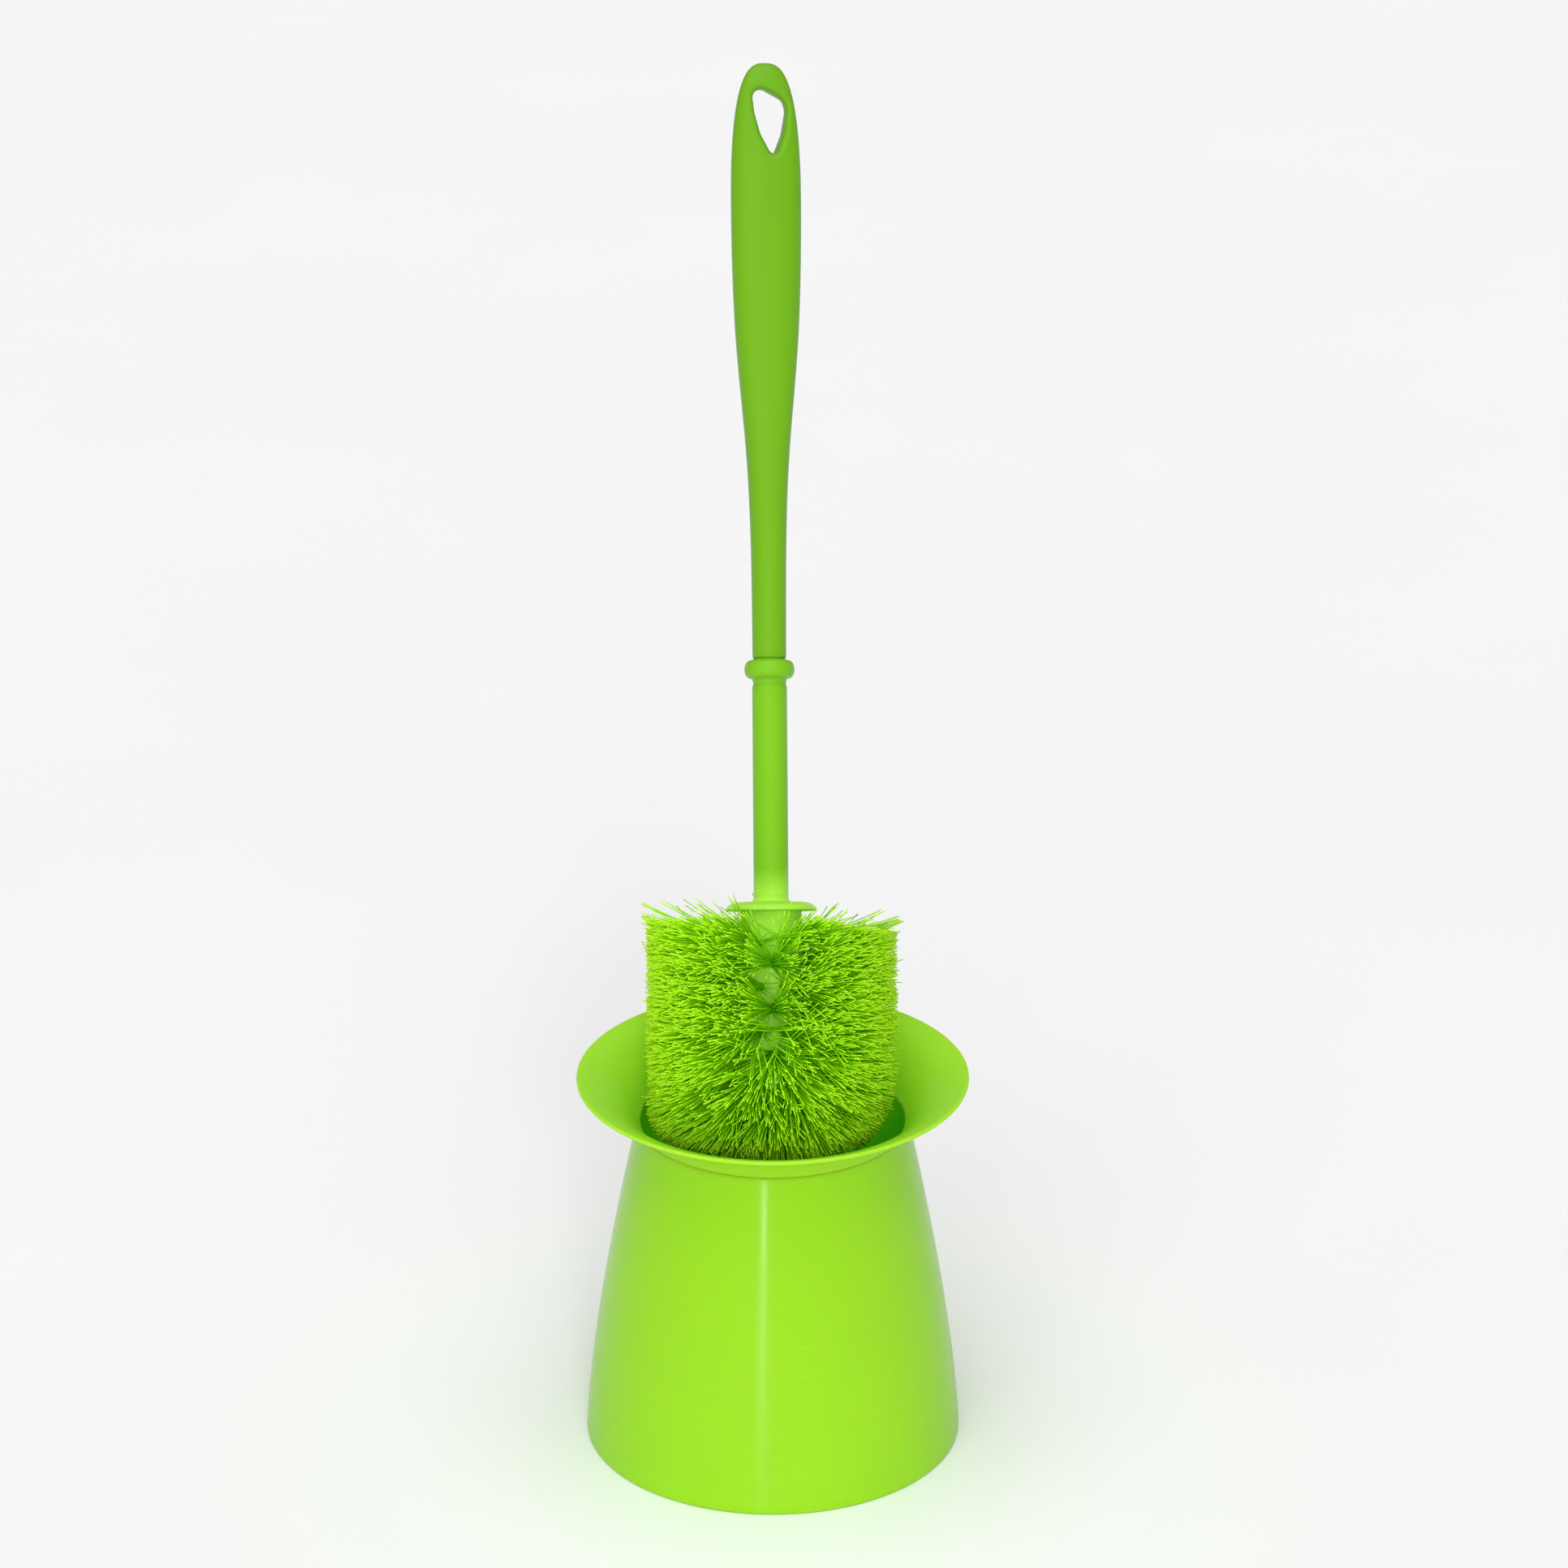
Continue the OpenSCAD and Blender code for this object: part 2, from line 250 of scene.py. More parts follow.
def add_piece(name, points, faces, mat, slot, body, nodes_replaced):
    """Makes a mesh of points and faces, and a piece of it."""
    mesh = bpy.data.meshes.new(name)
    mesh.from_pydata(points, [], faces)
    mesh.validate()
    finish_piece(name, mesh, mat, body, nodes_replaced)


def finish_piece(name, mesh, mat, body, nodes_replaced):
    """Puts a mesh in the scene, smooth, with its material, riding on its body for CAD nodes."""
    mesh.polygons.foreach_set("use_smooth", np.full(len(mesh.polygons), True))
    mesh.materials.clear()
    mesh.materials.append(mat)
    piece = bpy.data.objects.new(name, mesh)
    bpy.context.scene.collection.objects.link(piece)
    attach(piece, body)
    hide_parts(*nodes_replaced)


def lathe(outline, sides):
    """Points and faces of a closed outline of (radius, height) turned about z. Radius 0 makes a pole."""
    points, faces, rows = [], [], []
    for r, z in outline:
        if r < 1e-7:
            rows.append([len(points)])
            points.append((0, 0, z))
            continue
        rows.append(range(len(points), len(points) + sides))
        points += [(r * math.cos(a), r * math.sin(a), z) for a in
                   (2 * math.pi * k / sides for k in range(sides))]
    for low, high in zip(rows, rows[1:] + rows[:1]):
        for k in range(sides):
            n = (k + 1) % sides
            quad = [low[k % len(low)], low[n % len(low)], high[n % len(high)], high[k % len(high)]]
            corners = list(dict.fromkeys(quad))
            if len(corners) > 2:
                faces.append(corners)
    return points, faces


def arc(centre, r, start, end, steps):
    """Points of an arc, as (x, y), with angles in degrees."""
    angles = np.radians(np.linspace(start, end, steps + 1))
    return [(centre[0] + r * math.cos(a), centre[1] + r * math.sin(a)) for a in angles]


def blend_corner(before, corner, after, radius, steps=6):
    """Rounds a corner of an outline with a quadratic curve that starts and ends radius away from it."""
    b, c, a = (np.array(p, float) for p in (before, corner, after))
    start = c + (b - c) / np.linalg.norm(b - c) * radius
    end = c + (a - c) / np.linalg.norm(a - c) * radius
    shares = np.linspace(0, 1, steps + 1)
    return [tuple((1 - t) ** 2 * start + 2 * t * (1 - t) * c + t * t * end) for t in shares]


# ---------------------------------------------------------------- holder

def body_radius(z):
    """Outer radius of the body at a height."""
    return BASE_R - (BASE_R - WAIST_R) * (z / WAIST_Z) ** FOOT_CURVE


def shell_outline():
    """The shell's section: foot, body, waist, brim and its rounded edge, then back down the inside."""
    run = (BRIM_R - WAIST_R, BRIM_TOP - WAIST_Z)
    chord = math.atan2(run[1], run[0])
    flat = 2 * chord - BRIM_STEEP
    r = math.hypot(*run) / (2 * math.sin((BRIM_STEEP - flat) / 2))
    centre = (WAIST_R + r * math.sin(BRIM_STEEP), WAIST_Z - r * math.cos(BRIM_STEEP))
    steep, level = 90 + math.degrees(BRIM_STEEP), 90 + math.degrees(flat)
    shoulder_z = WAIST_Z - SHOULDER_DROP
    outside = [(body_radius(z), z) for z in np.linspace(2 * MM, shoulder_z, 48)]
    brim_under = [p for p in arc(centre, r, steep, level, 28) if p[1] > WAIST_Z + GROOVE_TOP]
    # The body rolls over into a fine groove under the brim
    roll = arc((body_radius(shoulder_z) - SHOULDER, shoulder_z), SHOULDER, *SHOULDER_TURN, 8)
    groove = (WAIST_R - GROOVE_DEPTH, WAIST_Z + GROOVE_RISE)
    waist = roll + blend_corner(roll[-1], groove, brim_under[0], GROOVE_ROUND, 5)
    tip = (centre[0] + (r + WALL / 2) * math.cos(math.radians(level)),
           centre[1] + (r + WALL / 2) * math.sin(math.radians(level)))
    edge = arc(tip, WALL / 2, level - 180, level, 10)[1:-1]
    brim_over = arc(centre, r + WALL, level, steep, 28)[:-1]
    inside = [(body_radius(z) - WALL, z) for z in np.linspace(WAIST_Z - 1.5 * MM, RIDGE_Z + 2.6 * MM, 44)]
    throat = blend_corner(brim_over[-1], (WAIST_R - WALL, WAIST_Z + 0.2 * MM), inside[0], THROAT_ROUND, 8)
    wall_r = body_radius(RIDGE_Z) - WALL
    ridge_top, ridge_in = RIDGE_Z + RIDGE_H, wall_r - RIDGE_DEPTH
    ridge = [(wall_r, ridge_top), (ridge_in + RIDGE_EDGE, ridge_top), (ridge_in, ridge_top - RIDGE_EDGE),
             (ridge_in, RIDGE_Z + RIDGE_RAMP), (wall_r, RIDGE_Z),
             (wall_r, FOOT_CHAMFER), (wall_r + FOOT_CHAMFER, 0)]
    foot = arc((BASE_R - FOOT_EDGE, FOOT_EDGE), FOOT_EDGE, -90, 0, 6)
    return foot + outside + waist + brim_under + edge + brim_over + throat + inside + ridge


# ---------------------------------------------------------------- stem and grip

def stem_outline():
    """The stem's section, from its end ball up the outside and down into the socket."""
    ball = arc((0, CORE_END), CORE_R, -90, 0, 20)
    ball[0] = (0, ball[0][1])
    rise = FLANGE_H - SMALL_EDGE
    flange = [(CORE_R, FLANGE_Z - SMALL_EDGE), (CORE_R + SMALL_EDGE, FLANGE_Z),
              (FLANGE_R - SMALL_EDGE, FLANGE_Z), (FLANGE_R - 0.1 * MM, FLANGE_Z + 0.12 * MM)]
    flange += [(FLANGE_R - FLANGE_EDGE * (1 - math.cos(a)), FLANGE_Z + SMALL_EDGE + rise * math.sin(a))
               for a in np.radians(np.linspace(0, 90, 15))]
    flange += arc((STEM_R + FLANGE_FILLET, FLANGE_Z + FLANGE_H + FLANGE_FILLET), FLANGE_FILLET, 270, 180, 8)
    bulge, half = COLLAR_R - STEM_R, COLLAR_H / 2
    middle = SEAM_Z - half - COLLAR_DROP
    collar = [(STEM_R + bulge * math.cos(a) ** COLLAR_FULL, middle + half * math.sin(a))
              for a in np.radians(np.linspace(-80, 88, 27))]
    # The shaft draws in a little under the bead, and a small hollow joins the two
    neck = [(STEM_R - NECK_DEPTH * math.sin(math.pi * t) ** 2, middle - half - NECK_RUN * (1 - t))
            for t in np.linspace(0, 1, 12)]
    top = [(STEM_R - 0.15 * MM, SEAM_Z - 0.3 * MM), (STEM_R - 0.35 * MM, SEAM_Z - 0.05 * MM),
           (STEM_R - 0.8 * MM, SEAM_Z)]
    socket_r = SPIGOT_R + SPIGOT_PLAY
    socket_end = SEAM_Z - SPIGOT_L - SPIGOT_GAP
    socket = [(socket_r + SMALL_EDGE, SEAM_Z), (socket_r, SEAM_Z - SMALL_EDGE), (socket_r, socket_end),
              (0, socket_end)]
    foot = FLANGE_Z + FLANGE_H + FLANGE_FILLET
    shaft = [(STEM_R, z) for z in np.linspace(foot, middle - half - NECK_RUN, 12)[1:-1]]
    return ball + flange + shaft + neck + collar + top + socket


GRIP_L = BRUSH_L - SEAM_Z
# Circles that the hanging hole's outline runs round: place across, distance below the end, radius
HOLE_CIRCLES = ((-1.5, 12, 3.1), (2.6, 14.8, 3.7), (1.2, 16.2, 5.4), (1.5, 22.6, 4.1), (1.9, 29, 1.5))
HOLE = [(x * MM, GRIP_L - below * MM, r * MM) for x, below, r in HOLE_CIRCLES]
HOLE_EDGE = 2.4 * MM                  # rounding of the hole's edges


def round_off(x, run, blunt):
    """Share of its full size that the grip keeps where its last stretch, run long, rounds off."""
    t = np.clip((x - (GRIP_L - run)) / run, 0, 1)
    return (1 - t ** blunt) ** (1 / blunt)


def grip_half_sizes(x):
    """Half width and half thickness of the grip, x above the seam."""
    swell = (1 + np.tanh((x - SWELL_AT) / SWELL_RUN)) / 2
    width = (SLIM_R + (GRIP_W - SLIM_R) * swell) * round_off(x, TIP_RUN, TIP_BLUNT)
    thick = (SLIM_R + (GRIP_T - SLIM_R) * swell) * round_off(x, THIN_RUN, EDGE_BLUNT)
    return width, thick


def hole_outline(steps=96):
    """The outline round the hole's circles: the point furthest out in each direction."""
    points = []
    for a in np.linspace(0, 2 * math.pi, steps, endpoint=False):
        way = (math.cos(a), math.sin(a))
        x, z, r = max(HOLE, key=lambda c: c[0] * way[0] + c[1] * way[1] + c[2])
        points.append((x + r * way[0], z + r * way[1]))
    return np.array(points)


def hole_distance(x, z):
    """Distance from the hanging hole's outline, 0 inside it."""
    outline = hole_outline()
    ahead = np.roll(outline, -1, 0)
    here = np.stack([x, z], -1)[..., None, :]
    run = ahead - outline
    t = np.clip(((here - outline) * run).sum(-1) / (run ** 2).sum(-1), 0, 1)
    away = np.linalg.norm(here - outline - t[..., None] * run, axis=-1).min(-1)
    side = run[:, 0] * (here - outline)[..., 1] - run[:, 1] * (here - outline)[..., 0]
    return np.where((side > 0).all(-1), 0, away)


def grip_sections(sides=128):
    """The grip's sections from the end of its spigot to its rounded tip, as an array of rings."""
    tip = GRIP_L - TIP_RUN
    # The sections stand closer together towards the rounded end, and the last is just short of it
    length = np.concatenate([np.linspace(0.25 * MM, tip, 90),
                             tip + TIP_RUN * np.sin(np.linspace(0.01, 0.496 * math.pi, 130))])
    angle = np.linspace(0, 2 * math.pi, sides, endpoint=False)
    width, thick = grip_half_sizes(length)
    power = 2 / (2 + GRIP_OVAL * np.minimum(1, length / SWELL_AT))
    across = np.sign(np.cos(angle)) * np.abs(np.cos(angle)) ** power[:, None] * width[:, None]
    deep = np.sign(np.sin(angle)) * np.abs(np.sin(angle)) ** power[:, None] * thick[:, None]
    height = np.repeat(length[:, None], sides, 1)
    # The faces roll over into the hanging hole
    into = np.maximum(0, HOLE_EDGE - hole_distance(across, height))
    fall = HOLE_EDGE - np.sqrt(HOLE_EDGE ** 2 - into ** 2)
    deep = np.sign(deep) * np.maximum(np.abs(deep) - fall, 0.3 * np.abs(deep))
    rings = np.stack([across, deep, height], -1)
    # Below them come the spigot with its chamfered end and the flat face at the seam
    low = [np.stack([r * np.cos(angle), r * np.sin(angle), np.full(sides, z)], -1)
           for r, z in ((SPIGOT_R - 0.5 * MM, -SPIGOT_L), (SPIGOT_R, -SPIGOT_L + 0.5 * MM), (SPIGOT_R, 0),
                        (SLIM_R - 0.3 * MM, 0), (SLIM_R, 0.2 * MM))]
    return np.concatenate([np.array(low), rings])


def loft(rings):
    """Points and faces of a closed tube through rings of equal length, with a flat fan at each end."""
    count, sides = rings.shape[:2]
    points = [tuple(p) for p in rings.reshape(-1, 3)]
    faces = []
    for i in range(count - 1):
        for k in range(sides):
            n = (k + 1) % sides
            faces.append((i * sides + k, i * sides + n, (i + 1) * sides + n, (i + 1) * sides + k))
    faces.append(tuple(range(sides))[::-1])
    faces.append(tuple(range((count - 1) * sides, count * sides)))
    return points, faces


def hole_cutter():
    """A prism through the grip with the hanging hole's outline."""
    return loft(np.array([[(x, y, z) for x, z in hole_outline()] for y in (20 * MM, -20 * MM)]))


def temporary(name, points, faces):
    mesh = bpy.data.meshes.new(name)
    mesh.from_pydata(points, [], faces)
    obj = bpy.data.objects.new(name, mesh)
    bpy.context.scene.collection.objects.link(obj)
    return obj


def grip_mesh():
    """The lofted grip with its hanging hole, remeshed so that every edge is softly rounded."""
    grip = temporary("grip_form", *loft(grip_sections()))
    cutter = temporary("grip_cutter", *hole_cutter())
    cut = grip.modifiers.new("hole", "BOOLEAN")
    cut.operation, cut.object, cut.solver = "DIFFERENCE", cutter, "EXACT"
    even = grip.modifiers.new("even", "REMESH")
    even.mode, even.voxel_size = "VOXEL", GRIP_VOXEL
    soft = grip.modifiers.new("soft", "SMOOTH")
    soft.factor, soft.iterations = 0.5, 4
    evaluated = grip.evaluated_get(bpy.context.evaluated_depsgraph_get())
    mesh = bpy.data.meshes.new_from_object(evaluated)
    for obj in (grip, cutter):
        bpy.data.objects.remove(obj)
    mesh.transform(BRUSH @ Matrix.Translation((0, 0, SEAM_Z)) @ Matrix.Rotation(GRIP_TURN, 4, "Z"))
    return mesh


# ---------------------------------------------------------------- bristles

def ring_tilt(i):
    """Tilt of a ring's tufts above level, in degrees: rings are counted from 1 at the top."""
    return 2 * (4 - i) if i <= 4 else -2 * (i - 4) ** 2


def ring_tufts(i):
    """(root, direction) of each tuft of a ring, in the brush's own frame."""
    tilt, z = math.radians(ring_tilt(i)), TOP_RING - RING_PITCH * (i - 1)
    return [tuft_at((k + i % 2 / 2) / RING_TUFTS, tilt, CORE_R, z) for k in range(RING_TUFTS)]


def end_tufts(row):
    """The same for a row of tufts on the core's end ball."""
    count, degrees = END_TUFTS[row]
    tilt, stagger = math.radians(degrees), ((RINGS + 1) % 2 / 2 if row == 0 else 0)
    r, z = CORE_R * math.cos(tilt), CORE_END + CORE_R * math.sin(tilt)
    return [tuft_at((k + stagger) / count, tilt, r, z) for k in range(count)]


def tuft_at(turn, tilt, r, z):
    """(root, direction) of a tuft, its turn given in whole turns and its tilt above level."""
    angle = 2 * math.pi * turn + TUFT_TURN
    root = np.array([r * math.cos(angle), r * math.sin(angle), z])
    level = math.cos(tilt)
    direction = np.array([level * math.cos(angle), level * math.sin(angle), math.sin(tilt)])
    return root, direction


def throat_distance(p):
    """Distance of points from the brush's axis, measured level, as they will pass the level throat."""
    return np.hypot(p[..., 0], p[..., 1] / math.cos(LEAN))


def throat_limit(p):
    """How large that distance may be. It grows with the flare of the brim, less at the back, to which the
    brush leans."""
    height = p[..., 2] * math.cos(LEAN) - p[..., 1] * math.sin(LEAN) - SUNK * math.cos(LEAN)
    back = np.maximum(0, p[..., 1] / math.cos(LEAN)) / np.maximum(throat_distance(p), 1e-6)
    return THROAT_R + np.maximum(0, height) * (BRIM_FLARE - math.tan(LEAN) * back)


def in_head(p):
    """True inside the rounded bristle head, which is pressed in at the throat."""
    side = p[..., 0] / HEAD_R
    rounded = HEAD_ROUND[0] + HEAD_ROUND[1] * side
    below = np.maximum(0, rounded - p[..., 2]) / rounded
    free = (p[..., 0] ** 2 + p[..., 1] ** 2) / HEAD_R ** 2 + below ** 2 < 1
    return free & (throat_distance(p) < throat_limit(p))


FARTHEST, HALVINGS = 60 * MM, 22      # no filament reaches further, and how often that range is halved


def head_reach(start, direction):
    """Distance from start along direction to the surface of the head, found by halving."""
    low, high = np.zeros(len(direction)), np.full(len(direction), FARTHEST)
    for _ in range(HALVINGS):
        middle = (low + high) / 2
        inside = in_head(start + direction * middle[:, None])
        low, high = np.where(inside, middle, low), np.where(inside, high, middle)
    return low


FILAMENT_R = 0.2 * MM
FILAMENTS = 125      # in one tuft
BUNDLES = 70                               # groups within a tuft that lean together
KNOTS = 15                                 # points along a filament
ROOT_DEPTH = 1.2 * MM                      # how far a filament starts inside the core
ROOT_SPREAD = 1.15 * MM                    # radius of a tuft at its root
LEAVE = 0.22                               # share of a filament's length that runs straight out
LEAN_SIDE = (0.25, 0.09)                   # sideways spread of bundles, and of filaments in a bundle
LEAN_UP = (0.14, 0.07)                     # the same along the brush
LOOSE_SHARE, LOOSE = 0.25, 2.2             # share of bundles that lean more along the brush, and how much
STRAY_LEAN, STRAY_LENGTH = 0.3, 0.05       # how much further a stray leans, and how much longer it is
TRIM = 0.012                               # unevenness of the trimmed length
CRIMP_WAVE = (8.5, 0.6)                    # length of a crimp wave and its spread, in millimetres
CRIMP = (0.07, 0.02)                       # height of the waves and its spread, in millimetres
BRIM_FLARE = 0.6                           # how fast the brim opens above the throat, as radius by height
STRAY_RISE, TOP_UNEVEN = 6 * MM, 0.6 * MM  # how far strays reach over the top, and its unevenness
HEAD_TOP = 88.4 * MM                       # trimmed top of the head at its middle
TOP_FALL = (3.5 * MM, 8 * MM)              # how much lower it is at the left and at the right
STRAYS = {1: 0.09, 2: 0.04}                # share of filaments that stand out, by ring
FEW_STRAYS = 0.01                          # the same in every other ring
LIFTS = {1: 0.10, 2: 0.04}                 # how much further up the tufts of the highest rings splay
# The filaments in front part left and right of a line, given by its place across and its lower end
PARTING_X, PARTING_Z = -1.5 * MM, 47 * MM
PARTING_R = 16 * MM                        # how far the tips are pushed away from that line
PARTED = (0.4, 1)                          # least and most of that push, by bundle
PARTED_FACING = 0.6                        # share of it for tufts that face the front
FRONT = -0.35                              # tips this far forward, in head radii, are parted


def unit(v):
    """Vectors scaled to length 1."""
    return v / np.linalg.norm(v, axis=-1, keepdims=True)


def sideways(direction):
    """Two directions square to each one given."""
    helper = np.where(np.abs(direction[:, 2:]) < 0.9, [[0, 0, 1.0]], [[1.0, 0, 0]])
    first = unit(np.cross(direction, helper))
    return first, np.cross(direction, first)


def parted(tip, push):
    """Pushes the tips in front outwards from the parting: push is how far at its middle."""
    middle = np.maximum(PARTING_Z, tip[:, 2])
    away = np.stack([tip[:, 0] - PARTING_X, tip[:, 2] - middle], -1)
    distance = np.maximum(np.hypot(*away.T), 0.1 * MM)
    away *= (np.hypot(distance, push) / distance)[:, None]
    pushed = np.stack([PARTING_X + away[:, 0], tip[:, 1], middle + away[:, 1]], -1)
    return np.where(tip[:, 1:2] < FRONT * HEAD_R, pushed, tip)


def trimmed(tip, stray, rng):
    """Keeps the tips under the head's trimmed top, but for the strays, which stand a little above it."""
    side = tip[:, 0] / HEAD_R
    top = HEAD_TOP - np.abs(side) * np.where(side < 0, *TOP_FALL)
    over, under = rng.uniform(0, STRAY_RISE, len(tip)), np.abs(rng.normal(0, TOP_UNEVEN, len(tip)))
    top += np.where(stray, over, -under)
    return np.column_stack([tip[:, :2], np.minimum(tip[:, 2], top)])


def filament_paths(root, axis, stray_share, lift, rng):
    """Paths of one tuft's filaments, as (filament, knot, xyz), in the brush's own frame."""
    count = FILAMENTS
    axes = np.repeat(axis[None], count, 0)
    side, up = sideways(axes)
    # Small bundles of filaments lean together, and each strays a little within its bundle
    bundle = rng.integers(0, BUNDLES, count)
    lean_side = rng.normal(0, LEAN_SIDE[0], BUNDLES)[bundle] + rng.normal(0, LEAN_SIDE[1], count)
    loose = np.where(rng.uniform(0, 1, BUNDLES) < LOOSE_SHARE, LOOSE, 1)
    lean_up = (rng.normal(0, LEAN_UP[0], BUNDLES) * loose)[bundle] + rng.normal(0, LEAN_UP[1], count)
    stray = rng.uniform(0, 1, count) < stray_share
    lean_up += lift + np.where(stray, STRAY_LEAN, 0)
    facing = abs(axis[0]) < 0.1 and root[2] > PARTING_Z
    push = PARTING_R * rng.uniform(*PARTED, BUNDLES)[bundle] * (PARTED_FACING if facing else 1)
    inner = rng.uniform(0, 1, count) ** 0.5 * ROOT_SPREAD
    turn = rng.uniform(0, 2 * math.pi, count)
    start = root - axes * ROOT_DEPTH
    start += side * (inner * np.cos(turn))[:, None] + up * (inner * np.sin(turn))[:, None]
    # The tuft at the very end points along the brush, so its filaments lean aside instead
    aside = np.where(np.abs(axis[2]) > 0.95, lean_up[:, None], 0) * up
    upward = np.array([0, 0, 1.0]) - axes * axis[2]
    tip_way = unit(axes + side * lean_side[:, None] + upward * lean_up[:, None] + aside)
    reach = head_reach(start, tip_way)
    tip_way = unit(trimmed(parted(start + tip_way * reach[:, None], push), stray, rng) - start)
    reach = head_reach(start, tip_way)
    reach *= 1 + rng.normal(0, TRIM, count) + np.where(stray, STRAY_LENGTH, 0)
    # Each leaves its hole along the tuft and bends out towards its tip
    t = np.linspace(0, 1, KNOTS)[None, :, None]
    leave = start[:, None] + axes[:, None] * (reach[:, None, None] * LEAVE)
    tip = start[:, None] + tip_way[:, None] * reach[:, None, None]
    path = (1 - t) ** 2 * start[:, None] + 2 * t * (1 - t) * leave + t * t * tip
    # Crimp: a flat wave in a direction of its own, which fades in from the root
    wave_side, wave_up = sideways(tip_way)
    plane = rng.uniform(0, 2 * math.pi, count)[:, None]
    wave_way = wave_side * np.cos(plane) + wave_up * np.sin(plane)
    waves = reach / (rng.normal(*CRIMP_WAVE, count) * MM)
    phase = rng.uniform(0, 2 * math.pi, count)
    swing = np.sin(2 * math.pi * waves[:, None] * t[:, :, 0] + phase[:, None])
    swing *= np.minimum(1, t[:, :, 0] * 4) * rng.normal(*CRIMP, count)[:, None] * MM
    return path + wave_way[:, None] * swing[:, :, None]


def keep_clear(path):
    """Keeps filaments inside the throat wherever they pass it, now or as the brush is lifted."""
    pull = np.minimum(1, throat_limit(path) / np.maximum(throat_distance(path), 1e-6))
    path[..., 0] *= pull
    path[..., 1] *= pull
    return path


def filament_mesh(name, tufts, seed, stray_share, lift):
    """One mesh with all filaments of some tufts: thin three-sided tubes with closed tips."""
    rng = np.random.default_rng(seed)
    paths = np.concatenate([filament_paths(root, axis, stray_share, lift, rng) for root, axis in tufts])
    paths = keep_clear(paths)
    count = len(paths)
    ahead = unit(np.gradient(paths, axis=1))
    first, second = sideways(ahead.reshape(-1, 3))
    first, second = (v.reshape(paths.shape) for v in (first, second))
    angles = np.arange(3) * 2 * math.pi / 3
    ring = first[:, :, None] * np.cos(angles)[:, None] + second[:, :, None] * np.sin(angles)[:, None]
    points = paths[:, :, None] + ring * FILAMENT_R
    matrix = np.array(BRUSH)
    points = points.reshape(-1, 3) @ matrix[:3, :3].T + matrix[:3, 3]
    base = (np.arange(count) * KNOTS * 3)[:, None, None]
    knot = (np.arange(KNOTS - 1) * 3)[None, :, None]
    k, n = np.arange(3), (np.arange(3) + 1) % 3
    row = base + knot
    quads = np.stack([row + k, row + n, row + 3 + n, row + 3 + k], -1).reshape(-1, 4)
    tips = (base[:, 0] + (KNOTS - 1) * 3 + k).reshape(-1, 3)
    roots = (base[:, 0] + k[::-1]).reshape(-1, 3)
    mesh = bpy.data.meshes.new(name)
    mesh.from_pydata(points, [], quads.tolist() + tips.tolist() + roots.tolist())
    values = {"along": np.repeat(np.tile(np.linspace(0, 1, KNOTS), count), 3),
              "tone": np.repeat(rng.uniform(0, 1, count), KNOTS * 3)}
    for attribute, value in values.items():
        mesh.attributes.new(attribute, "FLOAT", "POINT").data.foreach_set("value", value.astype(np.float32))
    return mesh


# ---------------------------------------------------------------- the pieces

def make_shell():
    plastic = moulded_plastic("shell_lime", (WAIST_Z - 2 * MM, WAIST_Z + 2 * MM),
                              (0.285, 0.775, 0.010), (0.322, 0.625, 0.020), 0.24, 0.22, 0.9)
    let_light_through(plastic)
    add_piece("holder_shell_moulding", *lathe(shell_outline(), 224), plastic, "shell_plastic", "holder",
              ["holder_shell"])


def make_stem():
    flange_top = (BRUSH @ Vector((0, 0, FLANGE_Z + FLANGE_H))).z
    # The flange and the core below it are a much paler green than the shaft. This is painted light: it
    # stands in for the light that reaches the shaded core between the tufts.
    plastic = moulded_plastic("stem_lime_painted_core_light", (flange_top - 2 * MM, flange_top + 12 * MM),
                              (0.50, 0.95, 0.085), (0.172, 0.455, 0.012), 0.3, 0.16)
    points, faces = lathe(stem_outline(), 96)
    add_piece("brush_stem_moulding", [BRUSH @ Vector(p) for p in points], faces, plastic, "stem_plastic",
              "brush", ["brush_stem"])


def make_grip():
    plastic = moulded_plastic("grip_green", (BRIM_TOP, cad_box[1].z),
                              (0.15, 0.395, 0.008), (0.13, 0.345, 0.007), 0.36, 0.2)
    finish_piece("grip_moulding", grip_mesh(), plastic, "brush", ["grip"])


def make_bristles():
    """One piece for each tuft node: its name after the prefix, its tufts, its seed, strays and lift."""
    filament = bristle_material()
    rows = [(f"ring_{i}", ring_tufts(i), 100 + i, STRAYS.get(i, FEW_STRAYS), LIFTS.get(i, 0))
            for i in range(1, RINGS + 1)]
    rows += [("end_outer", end_tufts(0), 120, FEW_STRAYS, 0),
             ("end_tip", end_tufts(1) + end_tufts(2), 121, FEW_STRAYS, 0)]
    for row, tufts, seed, stray_share, lift in rows:
        mesh = filament_mesh(f"bristles_{row}", tufts, seed, stray_share, lift)
        finish_piece(f"bristles_{row}", mesh, filament, "brush", [f"tufts_{row}"])


def carry_over(node, mat):
    """Gives a CAD node that stays its finished material."""
    for slot in frame["nodes"][node].material_slots:
        slot.material = mat


def finish_cad_nodes():
    """The base plate and the anchor wires stay as they are in the CAD."""
    plastic = moulded_plastic("plate_lime", (0, 9 * MM), (0.26, 0.62, 0.008), (0.25, 0.60, 0.007), 0.35)
    steel = wire_material()
    carry_over("base_plate", plastic)
    for node in frame["nodes"]:
        if node.startswith("anchors_"):
            carry_over(node, steel)


# ---------------------------------------------------------------- stage, light and camera

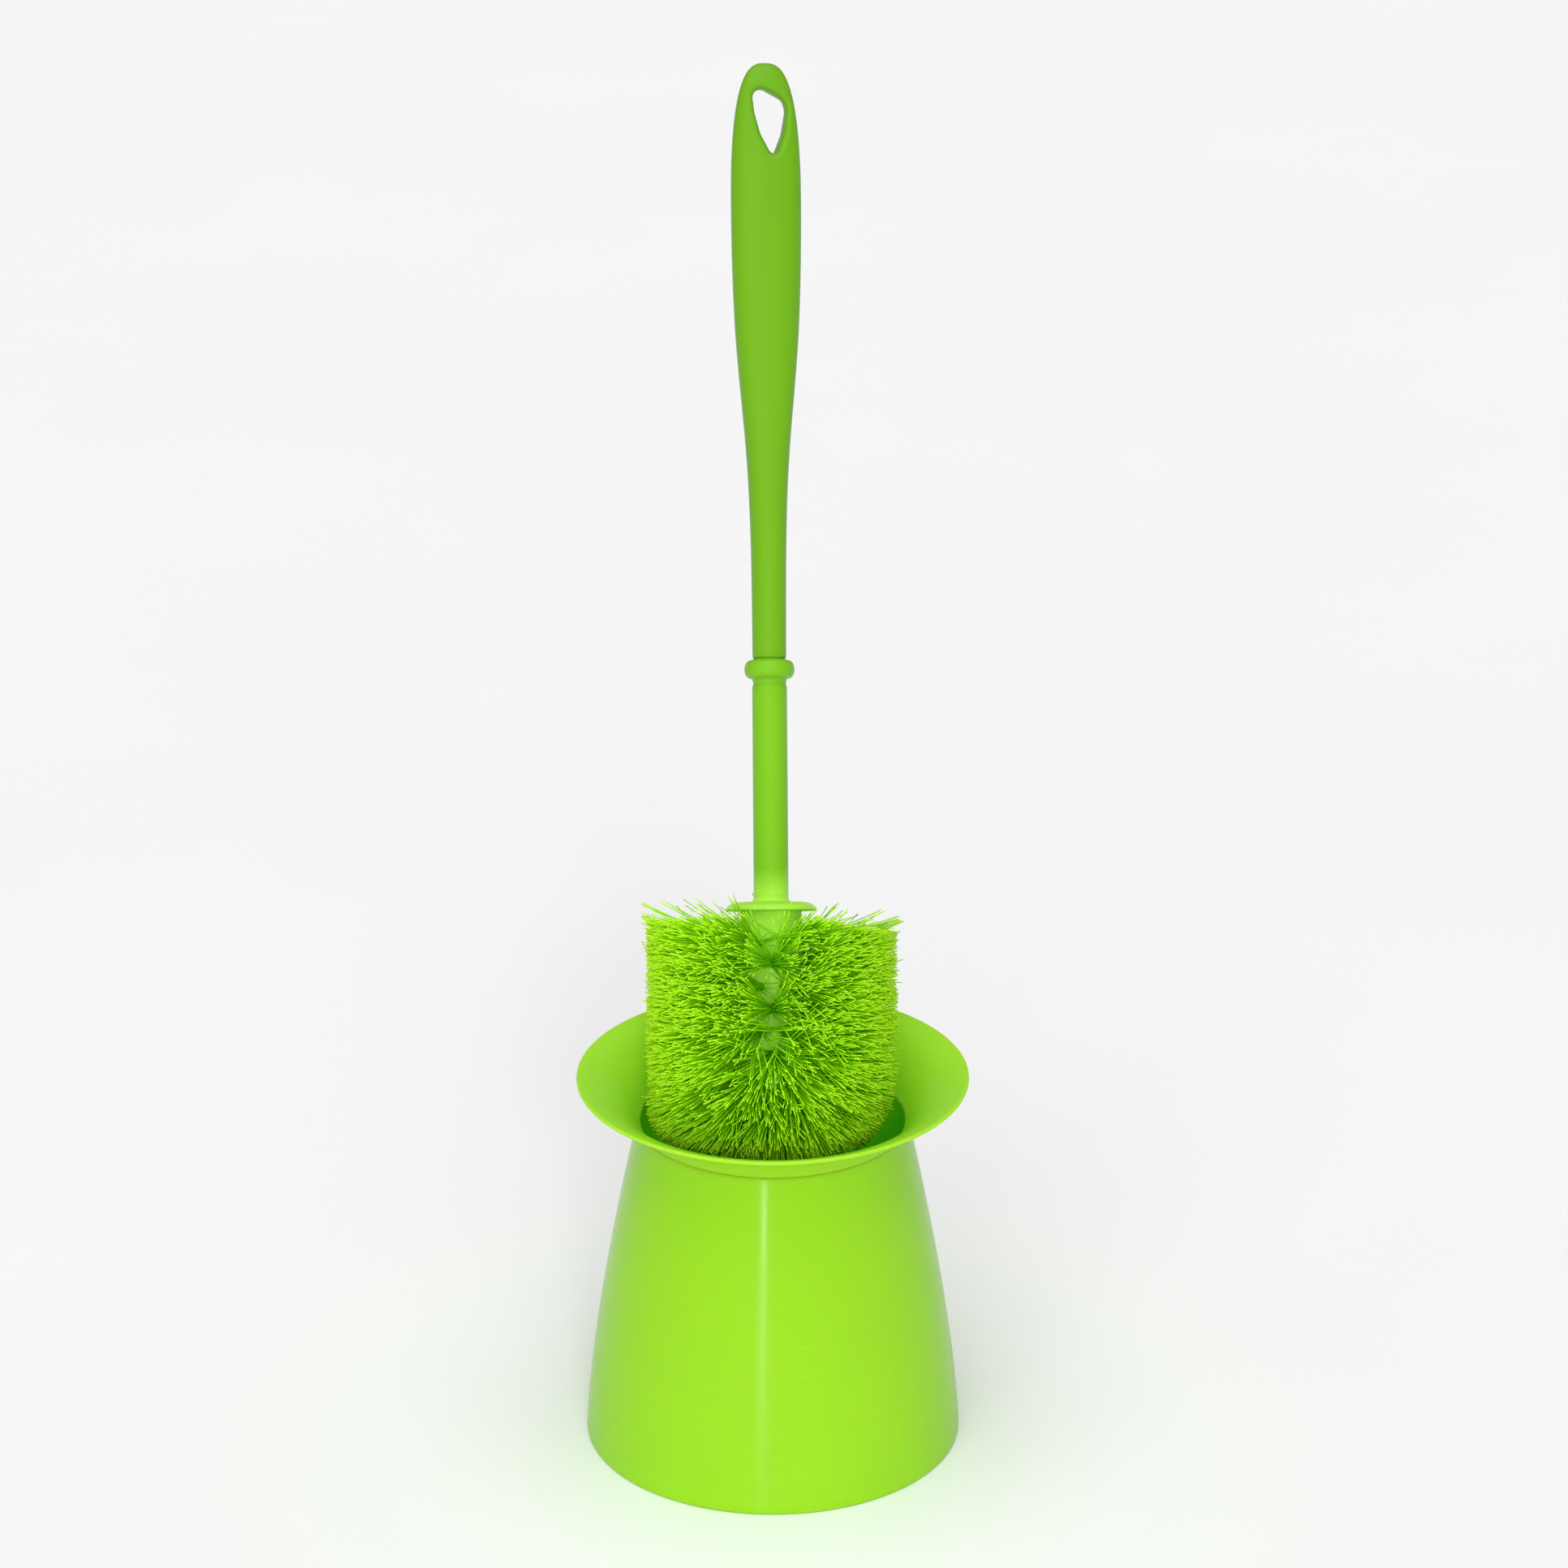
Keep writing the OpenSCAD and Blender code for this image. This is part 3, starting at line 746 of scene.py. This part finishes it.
def floor():
    mat, nodes, links, shader = material("floor_pale", (0.86, 0.86, 0.86), 0.7, 0.2)
    speckle = noise(nodes, links, 3, 3)
    links.new(ramp(nodes, links, speckle, [(0.3, (0.85, 0.85, 0.85)), (0.7, (0.87, 0.87, 0.87))]),
              shader.inputs["Base Color"])
    reach = 30
    mesh = bpy.data.meshes.new("floor")
    mesh.from_pydata([(-reach, -reach, 0), (reach, -reach, 0), (reach, reach, 0), (-reach, reach, 0)], [],
                     [(0, 1, 2, 3)])
    mesh.materials.append(mat)
    obj = bpy.data.objects.new("floor", mesh)
    bpy.context.scene.collection.objects.link(obj)


def sun(name, azimuth, elevation, softness, strength, shines=True):
    """A soft distant light. Azimuth 0 stands in front of the object, and elevation is above the floor.

    A light that doesn't shine is too broad and diffuse to leave a highlight.
    """
    light = bpy.data.lights.new(name, "SUN")
    light.angle, light.energy = math.radians(softness), strength
    obj = bpy.data.objects.new(name, light)
    obj.visible_glossy = shines
    a, e = math.radians(azimuth), math.radians(elevation)
    way = Vector((math.sin(a) * math.cos(e), -math.cos(a) * math.cos(e), math.sin(e)))
    obj.rotation_mode = "QUATERNION"
    obj.rotation_quaternion = way.to_track_quat("Z", "Y")
    bpy.context.scene.collection.objects.link(obj)


def studio_world():
    """A pale horizon under a dimmer ceiling."""
    world = bpy.data.worlds.new("studio")
    world.use_nodes = True
    nodes, links = world.node_tree.nodes, world.node_tree.links
    split = nodes.new("ShaderNodeSeparateXYZ")
    links.new(nodes.new("ShaderNodeTexCoord").outputs["Generated"], split.inputs["Vector"])
    brightness = ((0.0, 0.3), (0.1, 0.28), (0.3, 0.22), (0.8, 0.5))
    tone = ramp(nodes, links, split.outputs["Z"], [(place, (value,) * 3) for place, value in brightness])
    links.new(tone, nodes["Background"].inputs["Color"])
    bpy.context.scene.world = world


def lights():
    studio_world()
    sun("key", -7, 26, 60, 1.3, shines=False)
    sun("front", 5, 24, 9, 0.63, shines=False)
    sun("low", -7.5, 3, 1.5, 0.45)
    sun("top", -20, 84, 60, 1.3)


def camera():
    """The camera stands well back and looks down, a degree round to the left."""
    distance, height, pitch, azimuth = 1.80, 1.005, math.radians(23.2), math.radians(-1)
    data = bpy.data.cameras.new("camera")
    data.lens, data.sensor_width = 139.9, 36
    data.clip_end = 100
    obj = bpy.data.objects.new("camera", data)
    aside = Vector((math.cos(azimuth), math.sin(azimuth), 0)) * 3.7 * MM
    obj.location = Vector((distance * math.sin(azimuth), -distance * math.cos(azimuth), height)) + aside
    obj.rotation_euler = (math.pi / 2 - pitch, 0, azimuth)
    bpy.context.scene.collection.objects.link(obj)
    bpy.context.scene.camera = obj


make_shell()
make_stem()
make_grip()
make_bristles()
finish_cad_nodes()
floor()
lights()
camera()
bpy.context.scene.view_settings.view_transform = "Standard"
